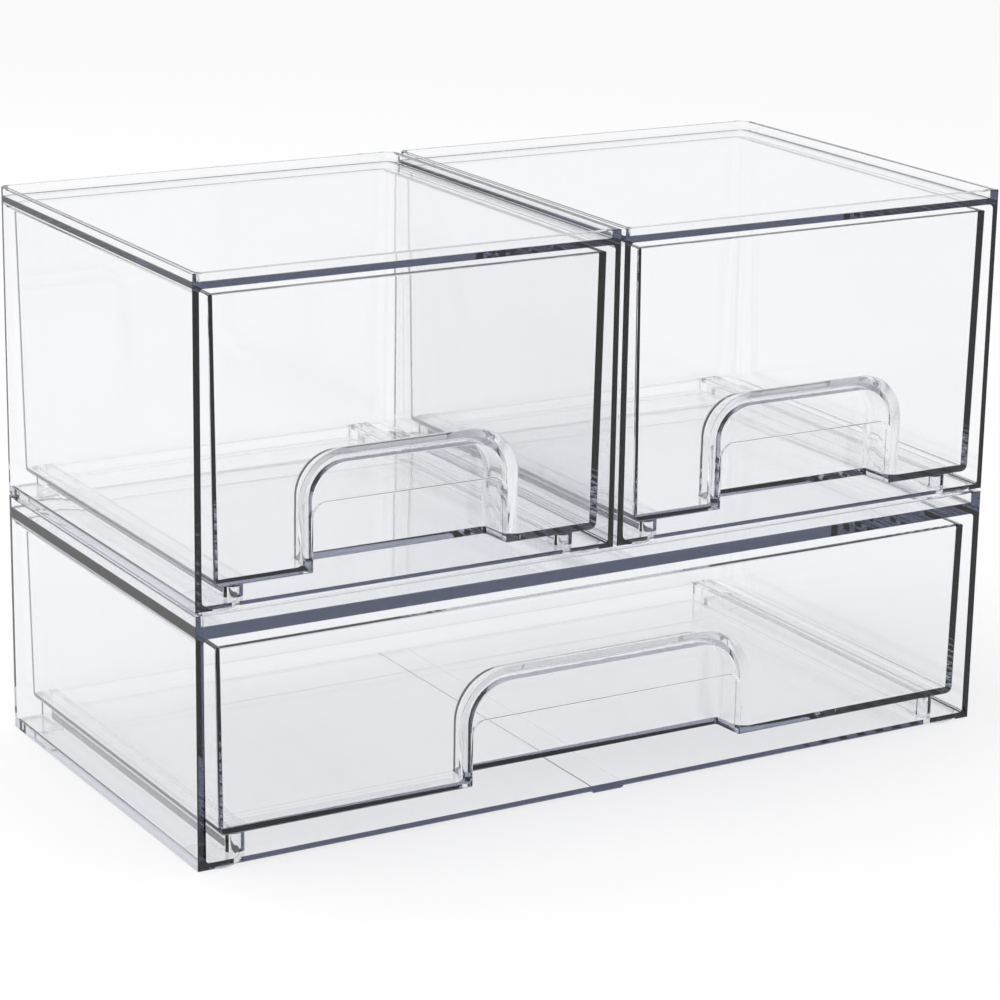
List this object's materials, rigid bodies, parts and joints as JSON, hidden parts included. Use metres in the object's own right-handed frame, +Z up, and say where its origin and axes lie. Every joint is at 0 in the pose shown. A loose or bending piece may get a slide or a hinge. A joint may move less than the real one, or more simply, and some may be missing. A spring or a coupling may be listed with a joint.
{
  "type": "makeup organizer drawers",
  "caption": "Clear stacking organizer: small drawer boxes side by side on a wide drawer box, each a housing on pad feet with a slide-out drawer and a moulded finger pull.",
  "frame": {"origin": "middle of the footprint, on the surface that the lower feet stand on", "axes": "+X to the right of someone facing the drawers, the drawer fronts face -Y, +Z up"},
  "size_m": [0.3174, 0.16, 0.2012],
  "materials": {
    "housing_plastic": "clear gloss",
    "drawer_plastic": "clear gloss",
    "foot_pad": "soft clear"
  },
  "bodies": {
    "wide_box": {"lower_housing": "housing_plastic", "lower_front_left_foot": "foot_pad", "lower_front_right_foot": "foot_pad", "lower_back_left_foot": "foot_pad", "lower_back_right_foot": "foot_pad"},
    "wide_drawer": {"lower_drawer": "drawer_plastic"},
    "left_box": {"left_housing": "housing_plastic", "left_front_left_foot": "foot_pad", "left_front_right_foot": "foot_pad", "left_back_left_foot": "foot_pad", "left_back_right_foot": "foot_pad"},
    "left_small_drawer": {"left_drawer": "drawer_plastic"},
    "right_box": {"right_housing": "housing_plastic", "right_front_left_foot": "foot_pad", "right_front_right_foot": "foot_pad", "right_back_left_foot": "foot_pad", "right_back_right_foot": "foot_pad"},
    "right_small_drawer": {"right_drawer": "drawer_plastic"}
  },
  "joints": [
    {"name": "wide_drawer_slide", "type": "slide", "parent": "wide_box", "child": "wide_drawer", "axis": [0, -1, 0], "range_m": [0, 0.12]},
    {"name": "left_box_lift", "type": "slide", "parent": "wide_box", "child": "left_box", "axis": [0, 0, 1], "range_m": [0, 0.12]},
    {"name": "left_drawer_slide", "type": "slide", "parent": "left_box", "child": "left_small_drawer", "axis": [0, -1, 0], "range_m": [0, 0.12]},
    {"name": "right_box_lift", "type": "slide", "parent": "wide_box", "child": "right_box", "axis": [0, 0, 1], "range_m": [0, 0.12]},
    {"name": "right_drawer_slide", "type": "slide", "parent": "right_box", "child": "right_small_drawer", "axis": [0, -1, 0], "range_m": [0, 0.12]}
  ]
}
